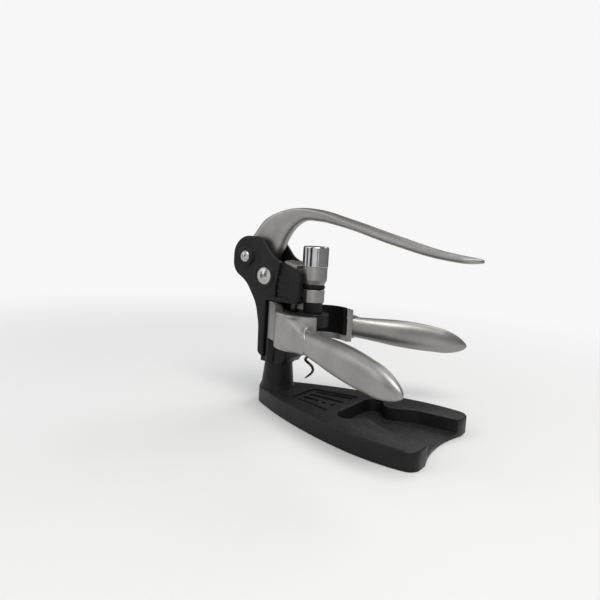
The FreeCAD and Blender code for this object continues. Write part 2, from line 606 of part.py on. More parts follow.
def make_lever():
    """The arched lever: one loft to the tip, forked at its root round the pivot and the crank."""
    # Stations along the middle line: x, z, direction in degrees, thickness, width
    stations = [
        (-44.5, 126.4, 66, 28.8, 17.6), (-35.5, 137.2, 52, 22.5, 16.6), (-25.6, 144.2, 38, 16.0, 15.0),
        (-12.0, 148.4, 6, 9.9, 12.6), (2.0, 147.9, -8, 8.7, 13.2), (27.4, 142.8, -14, 7.0, 18.5),
        (66.9, 132.4, -14, 6.6, 23.5), (98.0, 125.4, -10, 5.2, 24.0), (114.0, 123.6, -4, 4.0, 20.0),
        (123.2, 123.7, 2, 2.4, 11.0),
    ]
    wires = []
    for x, z, direction, thick, wide in stations:
        turn = math.radians(direction)
        along = Vector(math.cos(turn), 0, math.sin(turn))
        wires.append(section(Vector(x, 0, z), along, wide / 2, thick / 2, Vector(0, 1, 0)))
    blade = shaped("lever_blade", Part.makeLoft(wires, True, False))

    px, pz = mm("pivot_x"), mm("pivot_z")
    cx, cz = crank_place()
    tip = mm("roller_radius") + 0.3
    root_half = mm("crank_root")
    root = [(px - 9.8, pz + 2, 8), (px - 5.0, pz + 19.5, 3), (px + 22.6, pz + 7.8, 2),
            (px + 9, pz - 4, 8)]
    cheeks = side_prism("lever_cheeks", root, -mm("cheek_half"), mm("cheek_half"))
    hub = cylinder("lever_hub", "hub_boss", "2 * cheek_half", "pivot_x", "-cheek_half", "pivot_z", "Y")
    hub_spacer = cylinder("lever_spacer", "crank_root", "2 * (plate_inner - side_gap)", "pivot_x",
                          "side_gap - plate_inner", "pivot_z", "Y")
    # Each crank arm tapers from the hub to the crank pin
    span = Vector(cx - px, cz - pz, 0)
    reach = span.Length
    lean = math.asin((root_half - tip) / reach)
    base_angle = math.atan2(span.y, span.x)
    arm_points = []
    for sign in (1, -1):
        normal = base_angle + sign * (math.pi / 2 - lean)
        near = (px + root_half * math.cos(normal), pz + root_half * math.sin(normal), 0)
        far = (cx + tip * math.cos(normal), cz + tip * math.sin(normal), 0)
        arm_points += [near, far] if sign > 0 else [far, near]
    arm = side_prism("crank_arm", arm_points, -mm("cheek_half"), mm("cheek_half"))
    eye = cylinder("crank_eye", tip, "2 * cheek_half", cx, "-cheek_half", cz, "Y")
    fork = side_prism("lever_fork_way", [
        (px - 30, pz - 40, 0), (px - 30, pz - 2, 0), (px - 10.8, pz - 2, 0), (px - 4, pz + 9, 4),
        (px + 13.5, pz + 23.0, 5), (px + 26.5, pz + 30.0, 2), (px + 38, pz + 22, 0), (px + 38, pz - 40, 0),
    ], -mm("cheek_inner"), mm("cheek_inner"))
    pin_hole = cylinder("lever_pin_hole", "pin_radius + fit", 60, "pivot_x", -30, "pivot_z", "Y")
    crank_hole = cylinder("crank_pin_hole", "crank_pin_radius + press", 60, cx, -30, cz, "Y")
    blank = fuse("lever_blank", blade, cheeks, hub, hub_spacer, arm, eye)
    finish(cut("lever_arm", blank, fork, pin_hole, crank_hole), "lever_arm")

    finish(cylinder("crank_pin", "crank_pin_radius", "2 * cheek_half", cx, "-cheek_half", cz, "Y"),
           "crank_pin")
    roller = cylinder("roller_blank", "roller_radius", "2 * (cheek_inner - side_gap)", cx,
                      "side_gap - cheek_inner", cz, "Y")
    bore = cylinder("roller_bore", "crank_pin_radius + fit", 20, cx, -10, cz, "Y")
    finish(cut("crank_roller", roller, bore), "crank_roller")


def make_carriage():
    """The slide with its yoke and tail, and the stack of rings and caps on its hub."""
    cx, cz = crank_place()
    low = cz - mm("roller_radius") - mm("roller_play")
    high = cz + mm("roller_radius") + mm("roller_play")
    bar = mm("yoke_bar")
    half = mm("yoke_half")
    top = mm("cap_bottom") + 2.5
    tail = side_prism("slide_tail", [
        (mm("tail_rear"), mm("tail_bottom"), 1), (mm("tail_front"), mm("tail_bottom"), 1),
        (mm("tail_front"), top, 0), (mm("tail_rear"), top + 1.4, 1.5),
    ], -half, half)
    yoke = side_prism("slide_yoke", [
        (cx - 4.5, low - bar + 0.3, 1), (mm("tail_front"), low - bar + 0.3, 0),
        (mm("tail_front"), high + bar, 0), (cx - 2.0, high + bar, 1.5),
    ], -half, half)
    front = mm("pivot_x") + mm("crank_radius") + mm("roller_radius") + 0.5
    slot = side_prism("slide_slot", [
        (cx - 20, low, 0), (front, low, mm("roller_radius")), (front, high, mm("roller_radius")),
        (cx - 20, high, 0),
    ], -half - 1, half + 1)
    width = mm("channel_half") - mm("side_gap")
    block = side_prism("slide_block", [
        (mm("block_rear"), mm("ledge_bottom") + mm("ledge_thickness") + 0.4, 0.5),
        (mm("block_front"), mm("ledge_bottom") + mm("ledge_thickness") + 0.4, 0.5),
        (mm("block_front"), top - 2.0, 1.5), (mm("block_rear"), top + 0.8, 1.0),
    ], -width, width)
    arm = box("slide_arm", "block_front - 1", 0, "-arm_half", "arm_half", "sleeve_bottom + 2",
              "cap_bottom - 1.5")
    hub = cylinder("slide_hub", "hub_radius", "cap_bottom + 1.5 - ring_bottom", 0, 0, "ring_bottom")
    bore = cylinder("slide_bore", "shank_radius + fit", 60, 0, 0, "ring_bottom - 5")
    forked = cut("slide_forked", fuse("slide_plate", tail, yoke), slot)
    finish(cut("carriage_slide", fuse("slide_blank", forked, block, arm, hub), bore), "carriage_slide")

    outer = cylinder("cap_outer", "cap_radius", "cap_top - cap_bottom", 0, 0, "cap_bottom")
    inner = cylinder("cap_inner", "hub_radius + press", "8", 0, 0, "cap_bottom - 1")
    turned = cut("cap_turned", outer, inner)
    finish(round_edges("post_cap", turned, 1.8, lambda p, e: abs(p.z - mm("cap_top")) < 0.01), "post_cap")

    upper = cylinder("sleeve_upper", "sleeve_radius", "cap_bottom - sleeve_bottom - 3.5", 0, 0,
                     "sleeve_bottom + 3.5")
    taper = cone("sleeve_taper", "sleeve_radius - 1.5", "sleeve_radius", 3.5, 0, 0, "sleeve_bottom")
    hub_room = cylinder("sleeve_bore", "hub_radius + press", 40, 0, 0, "sleeve_bottom - 5")
    arm_room = box("sleeve_way", -20, 0, "-arm_half - side_gap", "arm_half + side_gap",
                   "sleeve_bottom + 2 - side_gap", "cap_bottom + 1")
    finish(cut("post_sleeve", fuse("sleeve_blank", upper, taper), hub_room, arm_room), "post_sleeve")

    seal = torus("seal_round", "(seal_radius + hub_radius) / 2 + 0.35",
                 "(sleeve_bottom - seal_bottom) / 2 - 0.05", 0, 0, "(sleeve_bottom + seal_bottom) / 2")
    seal_bore = cylinder("seal_bore", "hub_radius + press", 20, 0, 0, "seal_bottom - 5")
    finish(cut("rubber_ring", seal, seal_bore), "rubber_ring")

    ring = cylinder("ring_outer", "ring_radius", "seal_bottom - ring_bottom", 0, 0, "ring_bottom")
    ring_bore = cylinder("ring_bore", "hub_radius + press", 40, 0, 0, "ring_bottom - 5")
    aim = Placement(Vector(0, 0, (mm("ring_bottom") + mm("seal_bottom")) / 2 + 1),
                    Rotation(Vector(0, 0, 1), Vector(-0.62, -0.78, 0)))
    screw_way = Part.makeCylinder(1.25, 12)
    screw_way.Placement = aim
    way = shaped("ring_screw_way", screw_way)
    turned = cut("ring_turned", ring, ring_bore, way)
    rims = (mm("ring_bottom"), mm("seal_bottom"))
    finish(bevel_edges("post_ring", turned, 0.4,
                       lambda p, e: abs(math.hypot(p.x, p.y) - mm("ring_radius")) < 0.02
                       and min(abs(p.z - rim) for rim in rims) < 0.01), "post_ring")
    grub = Part.makeCylinder(1.2, 1.7, Vector(0, 0, mm("hub_radius") + 0.1))
    grub.Placement = aim
    finish(shaped("ring_screw", grub), "ring_screw")

    collar = cylinder("collar_outer", "collar_radius", "ring_bottom - collar_bottom", 0, 0, "collar_bottom")
    collar_bore = cylinder("collar_bore", "shank_radius + fit", 40, 0, 0, "collar_bottom - 5")
    finish(cut("post_collar", collar, collar_bore), "post_collar")


def make_worm():
    """The worm: a pointed wire helix, its head, and the spindle that turns in the carriage."""
    radius, wire, pitch = mm("worm_radius"), mm("wire_radius"), mm("worm_pitch")
    tip = mm("worm_tip")
    head_bottom = mm("collar_bottom") - mm("head_height")
    point_length = mm("point_length")
    start = tip + point_length * 0.75
    height = head_bottom + 1.5 - start
    helix = Part.makeHelix(pitch, height, radius)
    helix.translate(Vector(0, 0, start))
    slope = pitch / (2 * math.pi * radius)
    tangent = Vector(0, 1, slope)
    tangent.normalize()
    profile = Part.Wire([Part.Circle(Vector(radius, 0, start), tangent, wire).toShape()])
    coil = Part.Wire(helix).makePipeShell([profile], True, True)
    point = Part.makeCone(wire, mm("point_radius"), point_length, Vector(radius, 0, start), tangent * -1)
    head = Part.makeCylinder(mm("nut_bore") - 0.7, mm("head_height"), Vector(0, 0, head_bottom))
    finish(shaped("worm", coil.fuse([point, head]).removeSplitter()), "worm")

    spindle = cylinder("spindle_rod", "shank_radius", "cap_bottom + 4 - collar_bottom", 0, 0,
                       "collar_bottom")
    groove_outer = cylinder("groove_outer", "shank_radius + 1", "groove_height", 0, 0, "cap_bottom + 2")
    groove_inner = cylinder("groove_inner", "shank_radius - 0.6", 3, 0, 0, "cap_bottom + 1")
    groove = cut("spindle_groove_ring", groove_outer, groove_inner)
    finish(cut("worm_spindle", spindle, groove), "worm_spindle")
    clip = cut("clip_ring", cylinder("clip_outer", "hub_radius - 0.6", "groove_height - 0.1", 0, 0,
                                    "cap_bottom + 2.05"),
               cylinder("clip_inner", "shank_radius - 0.58", 3, 0, 0, "cap_bottom + 1"))
    mouth = box("clip_mouth", 0, 10, -1.6, 1.6, "cap_bottom + 1", "cap_bottom + 4")
    finish(cut("worm_clip", clip, mouth), "worm_clip")


def opened(name, source, angle_cell, sign):
    """A clamp piece, drawn closed, turned outwards about its hinge by the parked opening."""
    item = doc.addObject("Part::Compound", name)
    item.Links = [source]
    item.Placement = Placement(Vector(), Rotation(Vector(0, 0, sign), mm(angle_cell)))
    turn = "(%d) * %s" % (sign, angle_cell)
    hinge_y = "(%d) * hinge_y" % sign
    bind(item, "Placement.Rotation.Angle", angle_cell)
    place(item, "hinge_x - (hinge_x * cos(%s) - %s * sin(%s))" % (turn, hinge_y, turn),
          "%s - (hinge_x * sin(%s) + %s * cos(%s))" % (hinge_y, turn, hinge_y, turn), 0)
    return item


def make_clamps():
    """Two clamps, each a jaw with a knuckle on its pin, a rubber pad and a leaf-shaped handle."""
    hx, hy = mm("hinge_x"), mm("hinge_y")
    low, high = mm("jaw_bottom"), mm("jaw_top")
    knuckle_low, knuckle_high = mm("foot_block_top") + 0.4, mm("ledge_bottom") - 0.4
    inner, outer = mm("jaw_inner"), mm("jaw_outer")

    def ring_sector(name, r0, r1, a0, a1, z0, z1):
        c = [Vector(r * math.cos(math.radians(a)), r * math.sin(math.radians(a)), z0)
             for r, a in ((r1, a0), (r1, (a0 + a1) / 2), (r1, a1),
                          (r0, a1), (r0, (a0 + a1) / 2), (r0, a0))]
        edges = [Part.Arc(c[0], c[1], c[2]).toShape(), Part.LineSegment(c[2], c[3]).toShape(),
                 Part.Arc(c[3], c[4], c[5]).toShape(), Part.LineSegment(c[5], c[0]).toShape()]
        return shaped(name, Part.Face(Part.Wire(edges)).extrude(Vector(0, 0, z1 - z0)))

    sector = ring_sector("jaw_sector", inner, outer, 20, 141, low, knuckle_high)
    knuckle = cylinder("jaw_knuckle", "knuckle_radius", knuckle_high - knuckle_low, "hinge_x", "hinge_y",
                       knuckle_low)
    link = plan_prism("jaw_link", [
        (hx, hy + mm("knuckle_radius"), 0), (hx, hy - mm("knuckle_radius") + 0.2, 0),
        (inner * math.cos(math.radians(141)), inner * math.sin(math.radians(141)), 0),
        (outer * math.cos(math.radians(122)), outer * math.sin(math.radians(122)), 0),
        (outer * math.cos(math.radians(135)) - 1.0, outer * math.sin(math.radians(135)), 3),
    ], knuckle_low, knuckle_high)
    blank = fuse("jaw_blank", sector, knuckle, link)
    profile = side_prism("jaw_profile", [
        (hx - 6, knuckle_low, 0), (hx + 9.0, knuckle_low, 3), (hx + 14.0, low + 0.3, 5), (30, low, 2),
        (30, high, 3), (hx + 17.0, high + 1.2, 8), (hx + 6.5, knuckle_high, 2), (hx - 6, knuckle_high, 0),
    ], -10, 60)
    pin_way = cylinder("jaw_pin_way", "hinge_pin_radius + fit", 60, "hinge_x", "hinge_y", 30)
    jaw = cut("jaw_closed", common("jaw_trimmed", blank, profile), pin_way)

    pad_outer = inner - mm("fit")
    pad_ring = ring_sector("pad_ring", mm("pad_inner"), pad_outer, 24, 132, low + 5.5, high + 1.8)
    pad_toe = ring_sector("pad_toe", mm("pad_inner"), pad_outer, 16, 24, low + 5.5, high - 7)
    pad = fuse("pad_closed", pad_ring, pad_toe)

    # Stations along a handle: distance from the hinge, height of the middle line, height, width
    reach = mm("handle_reach")
    tall, wide = mm("handle_height"), mm("handle_width")
    stations = [
        (38.0, 62.6, 17.0, 11.0), (54.0, 60.9, 16.6, 12.0), (72.0, 59.6, 19.0, 14.5),
        (90.0, 58.0, tall - 1.0, wide), (108.0, 56.3, tall, wide - 0.4),
        (126.0, 54.0, tall - 3.0, wide - 3.0), (139.0, 51.8, tall - 8.0, wide - 7.5),
        (reach - 2.5, 50.4, tall - 15.0, wide - 12.0),
        (reach, 50.0, 2.4, 1.8),
    ]
    toe = math.radians(mm("handle_toe"))
    ahead = Vector(math.cos(toe), math.sin(toe), 0)
    across = Vector(-math.sin(toe), math.cos(toe), 0)
    # How far each station bows outwards
    bow = [6.5, 4.6, 2.6, 1.2, 0.4, 0.1, 0.0, 0.0, 0.0]
    wires = []
    for (along, z, height, width), aside in zip(stations, bow):
        centre = Vector(hx, hy, z) + ahead * along + across * aside
        wires.append(section(centre, ahead, width / 2, height / 2, across, 2.2))
    blade = shaped("handle_blade", Part.makeLoft(wires, True, False))
    seat = cylinder("handle_seat", "jaw_outer + fit", 100, 0, 0, 0)
    handle = cut("handle_closed", blade, seat)

    for side, cell, sign in (("left", "left_open", 1), ("right", "right_open", -1)):
        for kind, piece in (("clamp_jaw", jaw), ("jaw_pad", pad), ("handle_grip", handle)):
            name = "%s_%s" % (kind, side)
            source = piece if sign > 0 else mirror(name + "_closed", piece)
            finish(opened(name, source, cell, sign), name)


make_stand()
make_side_plates()
make_fasteners()
make_frame()
make_lever()
make_carriage()
make_worm()
make_clamps()
doc.recompute()

failed = [item.Name for item in doc.Objects if "Invalid" in item.State or "Error" in item.State]
for item in finished:
    if item.Shape.isNull() or not item.Shape.isValid():
        failed.append(item.Label)
if failed:
    raise RuntimeError("failed objects: " + ", ".join(sorted(set(failed))))

os.makedirs("parts", exist_ok=True)
for item in finished:
    item.Shape.exportStep(os.path.join("parts", item.Label + ".step"))
    bounds = item.Shape.BoundBox
    print("%-20s solids %d volume %9.1f x %.1f %.1f y %.1f %.1f z %.1f %.1f" % (
        item.Label, len(item.Shape.Solids), item.Shape.Volume, bounds.XMin, bounds.XMax,
        bounds.YMin, bounds.YMax, bounds.ZMin, bounds.ZMax))
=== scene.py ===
"""Looks for a lever corkscrew parked on its moulded stand.

Metres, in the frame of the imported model: +X to the lever's tip, +Y to the left-hand clamp, +Z up.
"""
import json
import math

import bmesh
import bpy
import numpy as np
from mathutils import Matrix, Vector


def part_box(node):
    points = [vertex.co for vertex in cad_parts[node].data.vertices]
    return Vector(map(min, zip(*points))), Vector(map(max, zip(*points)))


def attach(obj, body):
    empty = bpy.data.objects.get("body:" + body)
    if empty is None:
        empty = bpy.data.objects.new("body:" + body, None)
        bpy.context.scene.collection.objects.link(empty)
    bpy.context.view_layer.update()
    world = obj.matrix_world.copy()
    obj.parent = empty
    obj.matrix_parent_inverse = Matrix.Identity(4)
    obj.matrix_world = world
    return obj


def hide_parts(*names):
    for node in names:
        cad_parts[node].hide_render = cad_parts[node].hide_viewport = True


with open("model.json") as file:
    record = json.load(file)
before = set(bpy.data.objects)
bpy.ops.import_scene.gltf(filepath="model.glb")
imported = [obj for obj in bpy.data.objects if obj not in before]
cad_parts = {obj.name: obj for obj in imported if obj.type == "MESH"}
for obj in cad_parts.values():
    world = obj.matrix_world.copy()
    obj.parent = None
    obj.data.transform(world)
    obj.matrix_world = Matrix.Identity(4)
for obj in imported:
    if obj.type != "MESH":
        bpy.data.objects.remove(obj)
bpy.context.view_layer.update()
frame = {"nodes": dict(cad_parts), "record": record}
scene = bpy.context.scene
scene.view_settings.view_transform = "Standard"


# Camera: place and axes solved from the photograph
CAMERA_PLACE = (0.2161, -0.3185, 0.1330)
CAMERA_RIGHT = (0.8070, 0.5875, 0.0587)
CAMERA_AHEAD = (-0.5780, 0.8064, -0.1251)
CAMERA_LENS = 30.88


def make_camera():
    """A camera at its place, with its picture's right and its view's direction as given."""
    right = Vector(CAMERA_RIGHT).normalized()
    ahead = Vector(CAMERA_AHEAD)
    ahead = (ahead - right * ahead.dot(right)).normalized()
    up = right.cross(ahead)
    data = bpy.data.cameras.new("camera")
    data.lens = CAMERA_LENS
    data.sensor_width = 36.0
    data.clip_start = 0.01
    camera = bpy.data.objects.new("camera", data)
    turn = Matrix((right, up, -ahead)).transposed().to_4x4()
    camera.matrix_world = Matrix.Translation(CAMERA_PLACE) @ turn
    scene.collection.objects.link(camera)
    scene.camera = camera


def area_light(name, place, target, size, power, colour):
    """A round soft lamp at a place, facing a target."""
    data = bpy.data.lights.new(name, "AREA")
    data.shape = "DISK"
    data.size = size
    data.energy = power
    data.color = colour
    light = bpy.data.objects.new(name, data)
    light.location = place
    light.rotation_euler = (Vector(target) - Vector(place)).to_track_quat("-Z", "Y").to_euler()
    scene.collection.objects.link(light)


# Materials: each has its own procedural colour, roughness and relief in object coordinates

class Nodes:
    """Short calls for building one material's node tree."""

    def __init__(self, name):
        self.material = bpy.data.materials.new(name)
        self.material.use_nodes = True
        self.tree = self.material.node_tree
        self.surface = self.tree.nodes["Principled BSDF"]
        self.coords = self.add("ShaderNodeTexCoord").outputs["Object"]

    def add(self, kind, **settings):
        node = self.tree.nodes.new(kind)
        for key, value in settings.items():
            setattr(node, key, value)
        return node

    def link(self, out, socket):
        self.tree.links.new(out, socket)

    def stretched(self, scale):
        node = self.add("ShaderNodeMapping")
        node.inputs["Scale"].default_value = scale
        self.link(self.coords, node.inputs["Vector"])
        return node.outputs["Vector"]

    def noise(self, scale, detail, vector=None, roughness=0.55):
        node = self.add("ShaderNodeTexNoise")
        node.inputs["Scale"].default_value = scale
        node.inputs["Detail"].default_value = detail
        node.inputs["Roughness"].default_value = roughness
        self.link(vector or self.coords, node.inputs["Vector"])
        return node.outputs["Fac"]

    def ramp(self, value, stops):
        node = self.add("ShaderNodeValToRGB")
        ramp = node.color_ramp
        while len(ramp.elements) < len(stops):
            ramp.elements.new(0.5)
        for element, (place, colour) in zip(ramp.elements, stops):
            element.position = place
            element.color = (*colour, 1.0)
        self.link(value, node.inputs["Fac"])
        return node.outputs["Color"]

    def spread(self, value, low, high, start=0.3, end=0.7):
        node = self.add("ShaderNodeMapRange")
        node.inputs["From Min"].default_value = start
        node.inputs["From Max"].default_value = end
        node.inputs["To Min"].default_value = low
        node.inputs["To Max"].default_value = high
        self.link(value, node.inputs["Value"])
        return node.outputs["Result"]

    def bump(self, height, distance, strength, normal=None):
        node = self.add("ShaderNodeBump")
        node.inputs["Distance"].default_value = distance
        node.inputs["Strength"].default_value = strength
        self.link(height, node.inputs["Height"])
        if normal is not None:
            self.link(normal, node.inputs["Normal"])
        return node.outputs["Normal"]


# Dust colour, also used to paint up-facing faces lighter, as if lit from above
DUST_AND_TOP_LIGHT = (0.30, 0.29, 0.28, 1.0)


def moulded_plastic(name, dark, light, rough, grain_scale, grain, shine, dust_and_top_light=0.0):
    """Black plastic: fine moulding grain, slow tone changes, and on faces that look up some dust
    mixed with a painted lighter top, as if lit from above.
    """
    n = Nodes(name)
    colour = n.ramp(n.noise(38.0, 5.0), [(0.35, dark), (0.68, light)])
    # Up-facing faces take speckled dust colour, which also paints them lighter, as if lit from
    # above
    if dust_and_top_light:
        facing = n.add("ShaderNodeNewGeometry").outputs["Normal"]
        split = n.add("ShaderNodeSeparateXYZ")
        n.link(facing, split.inputs["Vector"])
        upward = n.spread(split.outputs["Z"], 0.0, 1.0, 0.55, 0.98)
        speckle = n.spread(n.noise(420.0, 6.0, roughness=0.7), 0.25, 1.0, 0.42, 0.66)
        amount = n.add("ShaderNodeMath", operation="MULTIPLY")
        n.link(upward, amount.inputs[0])
        n.link(speckle, amount.inputs[1])
        share = n.add("ShaderNodeMath", operation="MULTIPLY")
        n.link(amount.outputs[0], share.inputs[0])
        share.inputs[1].default_value = dust_and_top_light
        mix = n.add("ShaderNodeMix", data_type="RGBA")
        mix.inputs["B"].default_value = DUST_AND_TOP_LIGHT
        n.link(share.outputs[0], mix.inputs["Factor"])
        n.link(colour, mix.inputs["A"])
        colour = mix.outputs["Result"]
    n.link(colour, n.surface.inputs["Base Color"])
    sheen = n.spread(n.noise(90.0, 3.0), rough - 0.06, rough + 0.08)
    n.link(sheen, n.surface.inputs["Roughness"])
    n.surface.inputs["IOR"].default_value = 1.49
    n.surface.inputs["Specular IOR Level"].default_value = shine
    n.link(n.bump(n.noise(grain_scale, 2.0), 0.00006, grain), n.surface.inputs["Normal"])
    return n.material


def satin_metal(name, dark, light, rough, brush, strength):
    """Blasted and satin-plated metal: fine brush lines along one axis over a soft cloudy tone."""
    n = Nodes(name)
    n.surface.inputs["Metallic"].default_value = 1.0
    n.link(n.ramp(n.noise(55.0, 4.0), [(0.3, dark), (0.7, light)]), n.surface.inputs["Base Color"])
    lines = n.noise(1.0, 3.0, n.stretched(brush), 0.6)
    n.link(n.spread(lines, rough - 0.05, rough + 0.06), n.surface.inputs["Roughness"])
    grain = n.bump(n.noise(2600.0, 2.0), 0.00003, strength)
    n.link(n.bump(lines, 0.00002, strength, grain), n.surface.inputs["Normal"])
    return n.material


def polished_metal(name, dark, light, rough):
    """Plated metal with a faint haze and a few fine wear marks."""
    n = Nodes(name)
    n.surface.inputs["Metallic"].default_value = 1.0
    n.link(n.ramp(n.noise(120.0, 3.0), [(0.3, dark), (0.7, light)]), n.surface.inputs["Base Color"])
    wear = n.spread(n.noise(260.0, 5.0), rough, rough + 0.10, 0.45, 0.75)
    n.link(wear, n.surface.inputs["Roughness"])
    n.link(n.bump(n.noise(900.0, 2.0), 0.00001, 0.15), n.surface.inputs["Normal"])
    return n.material


# The dust amount given here is dust mixed with a painted lighter top on up-facing faces
MATERIALS = {
    "stand_plastic": moulded_plastic("stand_plastic", (0.005, 0.005, 0.006), (0.010, 0.010, 0.011),
                                     0.42, 1500.0, 0.45, shine=0.24, dust_and_top_light=0.10),
    "frame_black": moulded_plastic("frame_black", (0.006, 0.006, 0.007), (0.011, 0.011, 0.012),
                                   0.38, 2200.0, 0.25, shine=0.22, dust_and_top_light=0.02),
    "satin_zinc": satin_metal("satin_zinc", (0.30, 0.290, 0.280), (0.37, 0.359, 0.347),
                              0.40, (260.0, 900.0, 900.0), 0.35),
    "bright_chrome": polished_metal("bright_chrome", (0.46, 0.46, 0.47), (0.54, 0.54, 0.55), 0.11),
    "fastener_steel": polished_metal("fastener_steel", (0.40, 0.392, 0.385), (0.50, 0.49, 0.48),
                                     0.24),
    "dark_steel": moulded_plastic("dark_steel", (0.005, 0.005, 0.006), (0.011, 0.011, 0.012),
                                  0.32, 3000.0, 0.15, shine=0.35),
    "black_rubber": moulded_plastic("black_rubber", (0.005, 0.005, 0.006), (0.010, 0.010, 0.011),
                                    0.70, 1900.0, 0.5, shine=0.15),
}

for part in frame["record"]["subparts"]:
    mesh = frame["nodes"][part["node"]].data
    mesh.materials.clear()
    mesh.materials.append(MATERIALS[part["material_slot"]])


# Pieces made as numpy surfaces, and softened copies of CAD nodes. Lengths are in millimetres

MM = 0.001
MERGE = 0.001
COPLANAR, SHARP = math.radians(0.05), math.radians(35.0)
CLAMP_LINES = 72
HINGE = (-29.5, 9.6)
HANDLE_TOE = math.radians(5.0)
PARKED = {"left": 33.5, "right": 17.5}
# Along a handle from its hinge: distance, height of the middle line, height, width, outward bow
HANDLE_STATIONS = np.array([
    (34.0, 63.0, 17.4, 10.6, 7.0), (44.0, 62.0, 16.7, 11.2, 5.9), (54.0, 60.9, 16.7, 12.2, 4.8),
    (72.0, 59.3, 18.9, 14.6, 3.6), (90.0, 57.6, 21.7, 16.3, 2.9), (108.0, 55.8, 22.3, 15.4, 2.6),
    (126.0, 53.6, 20.2, 13.4, 1.7), (139.0, 51.6, 19.0, 13.0, 0.8), (148.0, 50.0, 18.6, 13.0, 0.0),
])
HANDLE_POWER, HANDLE_SUNK = 2.2, 2.0
TAPER_START, HANDLE_REACH, HANDLE_LAST = 126.0, 148.0, 147.98
# The jaw's boss in the same terms: it grows out of the jaw's face and closes round the handle
BOSS_STATIONS = np.array([
    (22.0, 63.2, 24.6, 12.0, 4.2), (28.0, 63.2, 24.8, 12.0, 5.1), (34.0, 63.2, 24.9, 12.0, 5.9),
    (40.0, 63.1, 24.6, 12.0, 6.1), (45.0, 62.7, 23.4, 12.2, 5.75), (50.0, 61.9, 21.0, 12.6, 5.2),
    (55.0, 61.0, 18.6, 12.9, 4.75), (60.0, 60.5, 17.9, 13.5, 4.4), (66.0, 59.9, 18.4, 14.3, 3.95),
])
BOSS_POWER, BOSS_START, BOSS_INSIDE = 3.0, 22.0, 20.6
BOSS_ROUND, BOSS_CLOSING = 1.6, 0.16
# Along the lever: x, z, direction in degrees, thickness, width, share of thickness above the crease
LEVER_STATIONS = np.array([
    (-49.2, 119.0, 67.0, 29.4, 17.0, 0.05), (-43.6, 126.0, 65.0, 26.6, 17.0, 0.05),
    (-35.5, 137.2, 52.0, 22.5, 16.4, 0.05), (-25.6, 144.2, 38.0, 16.0, 15.0, 0.06),
    (-12.0, 148.4, 6.0, 9.9, 12.8, 0.08), (2.0, 147.9, -8.0, 8.7, 13.6, 0.16),
    (27.4, 142.8, -14.0, 7.0, 18.5, 0.30), (66.9, 132.4, -14.0, 6.6, 23.0, 0.40),
    (98.0, 125.4, -10.0, 5.4, 23.4, 0.40), (114.0, 123.6, -4.0, 4.6, 21.0, 0.34),
    (123.2, 123.4, 2.0, 3.8, 19.0, 0.30),
])
LEVER_NOSE, LEVER_POWER, DOME_POWER = 12.0, 2.8, 2.4
# The plane where the lever's CAD fork is cut: a point on it, and the side that is taken away
LEVER_CUT, LEVER_CUT_FACES = (-46.8, 0.0, 119.8), (0.407, 0.0, 0.914)
WORM_RADIUS, WORM_PITCH, WORM_WIRE = 3.1, 15.7, 1.05
WORM_TIP_TURN, WORM_TIP_HEIGHT, WORM_TOP = 241.0, 24.6, 73.0
WORM_POINT, WORM_POINT_END = 9.0, 0.3
WORM_HEAD = {"radius": 4.6, "foot": 72.4, "top": 76.0, "edge": 0.4}
CAP_FOOT_EDGE, CAP_ROUND, CAP_SHOULDER, CAP_CROWN = 0.3, 1.5, 0.25, 0.35
LONG_RUN, SUPPORT_ROW = 1.2, 0.2


def add_piece(name, mesh, body, slot, *stands_for):
    """Links a finished mesh, gives it its slot's material, and lets it ride on its body."""
    piece = bpy.data.objects.new(name, mesh)
    scene.collection.objects.link(piece)
    mesh.materials.clear()
    mesh.materials.append(MATERIALS[slot])
    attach(piece, body)
    if stands_for:
        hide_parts(*stands_for)
    return piece


def grid_mesh(name, points, pole_start, pole_end):
    """A mesh from rings of points (rings, around, 3), closed around and with a pole at each end."""
    rings, around, _ = points.shape
    index = np.arange(rings * around).reshape(rings, around)
    after = np.roll(index, -1, axis=1)
    quads = np.stack([index[:-1], after[:-1], after[1:], index[1:]], axis=-1).reshape(-1, 4)
    first, last = np.full(around, rings * around), np.full(around, rings * around + 1)
    fans = np.concatenate([np.stack([after[0], index[0], first], axis=-1),
                           np.stack([index[-1], after[-1], last], axis=-1)])
    verts = np.vstack([points.reshape(-1, 3), pole_start, pole_end]) * MM
    mesh = bpy.data.meshes.new(name)
    mesh.from_pydata(verts.tolist(), [], quads.tolist() + fans.tolist())
    mesh.shade_smooth()
    mesh.update()
    return mesh


def smooth_columns(table, where):
    """The columns of a table against its first: a cubic through its rows, with averaged slopes."""
    x, y = table[:, 0], table[:, 1:]
    slope = np.gradient(y, x, axis=0)
    row = np.clip(np.searchsorted(x, where, side="right") - 1, 0, len(x) - 2)
    span = (x[row + 1] - x[row])[..., None]
    t = ((where - x[row])[..., None]) / span
    low, high = y[row], y[row + 1]
    return (low * (2 * t ** 3 - 3 * t ** 2 + 1) + high * (3 * t ** 2 - 2 * t ** 3)
            + slope[row] * span * (t ** 3 - 2 * t ** 2 + t)
            + slope[row + 1] * span * (t ** 3 - t ** 2))


def rounded(value, power):
    """One coordinate of a superellipse of this power, from the cosine or sine of the angle."""
    return np.sign(value) * np.abs(value) ** (2 / power)


def seam_line():
    """Where the handle leaves its boss, on each line along it.

    The distance from the hinge is 56 + 6 c + 1.5 c^2 mm, where c is 1 on the outer side and -1 on
    the inner side.
    """
    outward = np.cos(np.linspace(0, 2 * math.pi, CLAMP_LINES, endpoint=False))[None, :]
    return 56.0 + 6.0 * outward + 1.5 * outward ** 2


